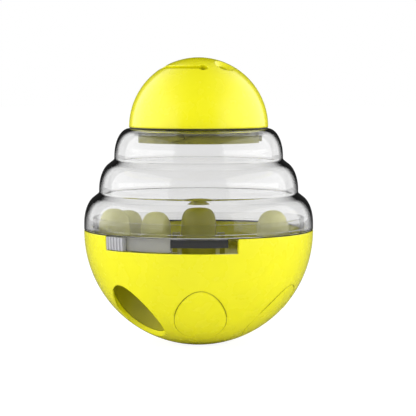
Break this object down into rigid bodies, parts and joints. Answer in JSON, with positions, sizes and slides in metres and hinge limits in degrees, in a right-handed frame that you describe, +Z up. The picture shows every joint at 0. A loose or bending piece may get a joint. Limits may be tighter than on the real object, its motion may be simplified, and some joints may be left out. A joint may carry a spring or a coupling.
{
  "type": "treat dispensing toy",
  "caption": "Round-bottomed tumbler for pets with a weighted bowl, a twist-off clear stepped cover, a domed cap and an adjusting ring that opens the treat outlet.",
  "frame": {"origin": "middle of the small flat that the bowl stands on", "axes": "+Z up through the cap, -Y out of the front where the rim is notched, +X to the right"},
  "size_m": [0.1, 0.1, 0.125],
  "materials": {
    "yellow_plastic": "glossy moulded lemon yellow",
    "clear_plastic": "clear polished plastic",
    "smoky_plastic": "smoky clear plastic",
    "grey_plastic": "satin moulded light grey",
    "soft_seal": "soft matte",
    "weight_iron": "plain casting",
    "screw_steel": "plain steel"
  },
  "bodies": {
    "bowl": {"bowl_shell": "yellow_plastic", "outlet_chute": "yellow_plastic", "outlet_blank_1": "yellow_plastic", "outlet_blank_2": "yellow_plastic", "outlet_blank_3": "yellow_plastic", "outlet_blank_4": "yellow_plastic", "outlet_blank_5": "yellow_plastic", "counterweight": "weight_iron", "weight_pad": "soft_seal", "pedestal": "yellow_plastic", "pedestal_screws": "screw_steel", "treat_tray": "yellow_plastic", "tray_screw": "screw_steel", "peg_left": "yellow_plastic", "peg_left_rear": "yellow_plastic", "peg_inner": "yellow_plastic", "peg_right": "yellow_plastic", "column_cap": "yellow_plastic"},
    "ring": {"adjusting_ring": "smoky_plastic", "thumb_tab": "grey_plastic"},
    "cover_seal": {"cover_seal": "soft_seal"},
    "cover": {"clear_cover": "clear_plastic"},
    "cap_seal": {"cap_seal": "soft_seal"},
    "cap": {"top_cap": "yellow_plastic", "cap_neck": "yellow_plastic", "cap_screws": "screw_steel"}
  },
  "joints": [
    {"name": "ring_turn", "type": "hinge", "parent": "bowl", "child": "ring", "pos_m": [0, 0, 0.045], "axis": [0, 0, 1], "range_deg": [0, 58.6]},
    {"name": "cover_lift", "type": "slide", "parent": "bowl", "child": "cover_seal", "axis": [0, 0, 1], "range_m": [0, 0.0451]},
    {"name": "cover_turn", "type": "hinge", "parent": "cover_seal", "child": "cover", "pos_m": [0, 0, 0.05], "axis": [0, 0, 1], "range_deg": [0, 270]},
    {"name": "cap_lift", "type": "slide", "parent": "cover", "child": "cap_seal", "axis": [0, 0, 1], "range_m": [0, 0.0338]},
    {"name": "cap_turn", "type": "hinge", "parent": "cap_seal", "child": "cap", "pos_m": [0, 0, 0.0947], "axis": [0, 0, 1], "range_deg": [0, 270]}
  ],
  "couplings": [
    {"joint": "cover_lift", "follows": "cover_turn", "m_per_rad": 0.0095493},
    {"joint": "cap_lift", "follows": "cap_turn", "m_per_rad": 0.007162}
  ]
}
